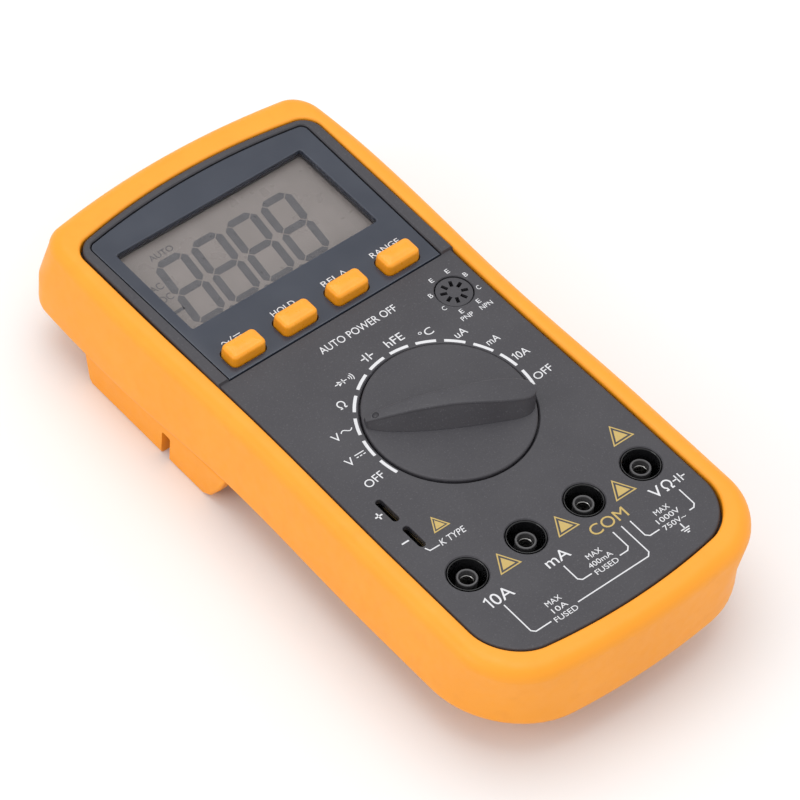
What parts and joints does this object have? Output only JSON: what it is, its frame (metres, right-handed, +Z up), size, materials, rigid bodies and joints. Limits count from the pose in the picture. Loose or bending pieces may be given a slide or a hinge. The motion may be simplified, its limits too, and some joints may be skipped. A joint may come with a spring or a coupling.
{
  "type": "handheld digital multimeter",
  "caption": "Handheld digital multimeter in a rubber holster, with a rotary selector, push buttons, a display, input jacks, probe rails and a fold-out tilt stand.",
  "frame": {"origin": "under the middle of the holster's plan, on the plane that the meter lies on when it rests on its back", "axes": "+X to the right as the face reads, +Y from the input jacks to the display end, +Z up out of the face"},
  "size_m": [0.0938, 0.1928, 0.0416],
  "materials": {
    "holster_rubber": "satin, fine grain, orange",
    "panel_plastic": "fine spark-eroded grain, dark grey",
    "fascia": "smooth, blue-grey print",
    "window": "clear acrylic",
    "lcd": "grey polariser",
    "white_plastic": "moulded",
    "zebra": "striped elastomer",
    "board": "green solder mask",
    "button_plastic": "satin orange",
    "silicone": "matt silicone",
    "black_plastic": "glossy black",
    "brass": "turned or stamped",
    "steel": "bright zinc",
    "fuse_glass": "glass tube with metal caps",
    "battery_jacket": "plain jacket"
  },
  "bodies": {
    "meter": {"holster": "holster_rubber", "front_case": "panel_plastic", "rear_case": "panel_plastic", "display_fascia": "fascia", "display_window": "window", "lcd_glass": "lcd", "lcd_holder": "white_plastic", "zebra_strip_lower": "zebra", "zebra_strip_upper": "zebra", "main_board": "board", "keypad_mat": "silicone", "jack_housing_10a": "black_plastic", "jack_housing_ma": "black_plastic", "jack_housing_com": "black_plastic", "jack_housing_volt": "black_plastic", "jack_sleeve_10a": "steel", "jack_sleeve_ma": "steel", "jack_sleeve_com": "steel", "jack_sleeve_volt": "steel", "transistor_socket": "black_plastic", "thermocouple_socket": "black_plastic", "thermocouple_contact_plus": "brass", "thermocouple_contact_minus": "brass", "fuse_10a": "fuse_glass", "fuse_ma": "fuse_glass", "fuse_clip_1": "brass", "fuse_clip_2": "brass", "fuse_clip_3": "brass", "fuse_clip_4": "brass", "current_shunt": "steel", "converter_chip": "black_plastic", "range_capacitor": "white_plastic", "buzzer": "brass", "battery": "battery_jacket", "battery_connector": "black_plastic", "battery_door": "panel_plastic", "battery_door_screw": "steel", "case_screw_1": "steel", "case_screw_2": "steel", "case_screw_3": "steel", "case_screw_4": "steel", "stand_pin_left": "steel", "stand_pin_right": "steel"},
    "selector": {"selector_knob": "panel_plastic", "selector_rotor": "white_plastic", "rotor_screw": "steel", "detent_ball_1": "steel", "detent_ball_2": "steel", "detent_spring_1": "steel", "detent_spring_2": "steel", "wiper_contact_1": "brass", "wiper_contact_2": "brass", "wiper_contact_3": "brass"},
    "mode_key": {"button_mode": "button_plastic"},
    "hold_key": {"button_hold": "button_plastic"},
    "relative_key": {"button_relative": "button_plastic"},
    "range_key": {"button_range": "button_plastic"},
    "stand": {"tilt_stand": "panel_plastic"}
  },
  "joints": [
    {"name": "selector_turn", "type": "hinge", "parent": "meter", "child": "selector", "pos_m": [0.00215, -0.0169, 0.035], "axis": [0, 0, 1], "range_deg": [-162, 36]},
    {"name": "mode_press", "type": "slide", "parent": "meter", "child": "mode_key", "axis": [0, 0, -1], "range_m": [0, 0.001], "stiffness_N_per_m": 800},
    {"name": "hold_press", "type": "slide", "parent": "meter", "child": "hold_key", "axis": [0, 0, -1], "range_m": [0, 0.001], "stiffness_N_per_m": 800},
    {"name": "relative_press", "type": "slide", "parent": "meter", "child": "relative_key", "axis": [0, 0, -1], "range_m": [0, 0.001], "stiffness_N_per_m": 800},
    {"name": "range_press", "type": "slide", "parent": "meter", "child": "range_key", "axis": [0, 0, -1], "range_m": [0, 0.001], "stiffness_N_per_m": 800},
    {"name": "stand_swing", "type": "hinge", "parent": "meter", "child": "stand", "pos_m": [0, 0.0062, 0.0046], "axis": [1, 0, 0], "range_deg": [0, 60]}
  ]
}
